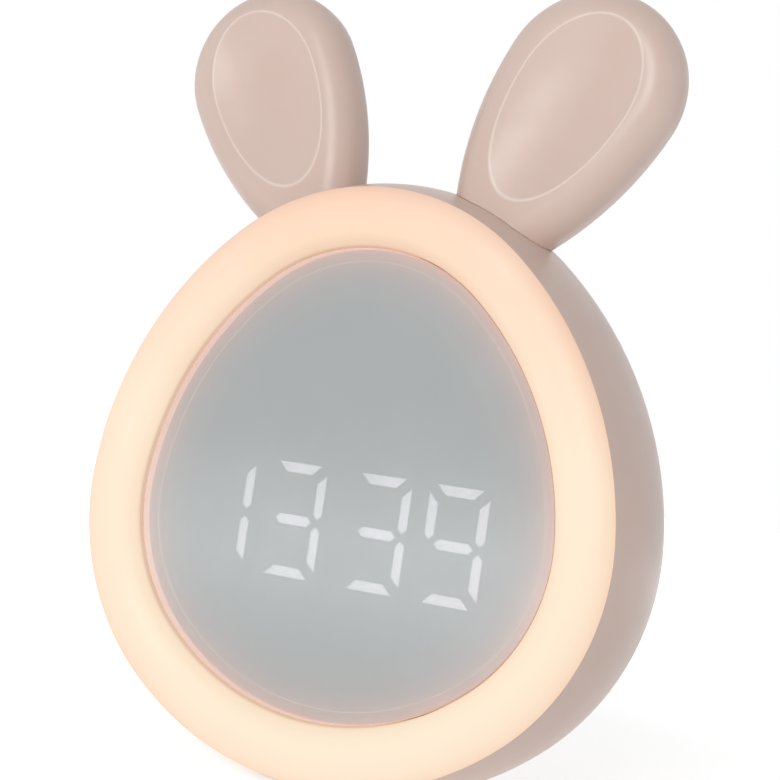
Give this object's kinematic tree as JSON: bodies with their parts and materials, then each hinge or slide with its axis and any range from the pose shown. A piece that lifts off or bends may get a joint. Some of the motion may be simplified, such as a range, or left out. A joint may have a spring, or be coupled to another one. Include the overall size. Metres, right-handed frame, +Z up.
{
  "type": "kids alarm clock with night light",
  "caption": "Bedside clock with rabbit ears, a domed egg-shaped night-light ring, a half-mirror face with white digits, and sprung keys, a slide switch and a charging socket behind",
  "frame": {"origin": "centre of the overall box's underside, on the table between the feet", "axes": "+Z up, the lit face looks along -Y, +X to the right as seen from the front"},
  "size_m": [0.1042, 0.044, 0.1418],
  "materials": {
    "shell_plastic": "soft-touch satin plastic, warm pinkish beige",
    "foot_rubber": "matt silicone rubber",
    "ring_diffuser": "frosted light diffuser, lit from behind",
    "mirror_lens": "half mirror acrylic, polished",
    "foam_tape": "black foam tape",
    "smoke_film": "tinted film",
    "white_plastic": "white moulded plastic, fine grain",
    "circuit_board": "green solder mask",
    "light_chip": "light chip with phosphor window",
    "segment_plastic": "milky segment window, lit from behind",
    "battery_foil": "satin pouch foil",
    "speaker_steel": "black lacquered steel",
    "black_plastic": "black moulded plastic",
    "plated_steel": "nickel plated pressed steel",
    "key_rubber": "satin silicone keys, a shade darker than the shell",
    "screw_steel": "zinc plated screws"
  },
  "bodies": {
    "clock_body": {"rear_housing": "shell_plastic", "rubber_feet": "foot_rubber", "diffuser_ring": "ring_diffuser", "face_lens": "mirror_lens", "lens_tape": "foam_tape", "display_film": "smoke_film", "light_frame": "white_plastic", "ring_led_board": "circuit_board", "ring_leds": "light_chip", "segment_windows": "segment_plastic", "digit_block": "white_plastic", "segment_leds": "light_chip", "display_board": "circuit_board", "main_board": "circuit_board", "battery_tape": "foam_tape", "battery": "battery_foil", "speaker_gasket": "foam_tape", "speaker": "speaker_steel", "key_switches": "black_plastic", "slide_switch_body": "plated_steel", "usb_socket": "plated_steel", "controller_chip": "black_plastic", "clock_crystal": "plated_steel", "lead_connectors": "white_plastic", "ear_screws": "screw_steel", "case_screws": "screw_steel", "display_screws": "screw_steel", "board_screws": "screw_steel", "ear_front_left": "shell_plastic", "ear_back_left": "shell_plastic", "ear_front_right": "shell_plastic", "ear_back_right": "shell_plastic"},
    "mode_button": {"mode_key": "key_rubber", "mode_plunger": "black_plastic"},
    "alarm_button": {"alarm_key": "key_rubber", "alarm_plunger": "black_plastic"},
    "down_button": {"down_key": "key_rubber", "down_plunger": "black_plastic"},
    "up_button": {"up_key": "key_rubber", "up_plunger": "black_plastic"},
    "light_button": {"light_key": "key_rubber", "light_plunger": "black_plastic"},
    "slide_switch": {"slide_switch_knob": "black_plastic"}
  },
  "joints": [
    {"name": "mode_press", "type": "slide", "parent": "clock_body", "child": "mode_button", "axis": [0, -1, 0], "range_m": [0, 0.0005], "stiffness_N_per_m": 1500, "springref_m": -0.0005},
    {"name": "alarm_press", "type": "slide", "parent": "clock_body", "child": "alarm_button", "axis": [0, -1, 0], "range_m": [0, 0.0005], "stiffness_N_per_m": 1500, "springref_m": -0.0005},
    {"name": "down_press", "type": "slide", "parent": "clock_body", "child": "down_button", "axis": [0, -1, 0], "range_m": [0, 0.0005], "stiffness_N_per_m": 1500, "springref_m": -0.0005},
    {"name": "up_press", "type": "slide", "parent": "clock_body", "child": "up_button", "axis": [0, -1, 0], "range_m": [0, 0.0005], "stiffness_N_per_m": 1500, "springref_m": -0.0005},
    {"name": "light_press", "type": "slide", "parent": "clock_body", "child": "light_button", "axis": [0, -1, 0], "range_m": [0, 0.0005], "stiffness_N_per_m": 1500, "springref_m": -0.0005},
    {"name": "slide_switch_slide", "type": "slide", "parent": "clock_body", "child": "slide_switch", "axis": [1, 0, 0], "range_m": [0, 0.003]}
  ]
}
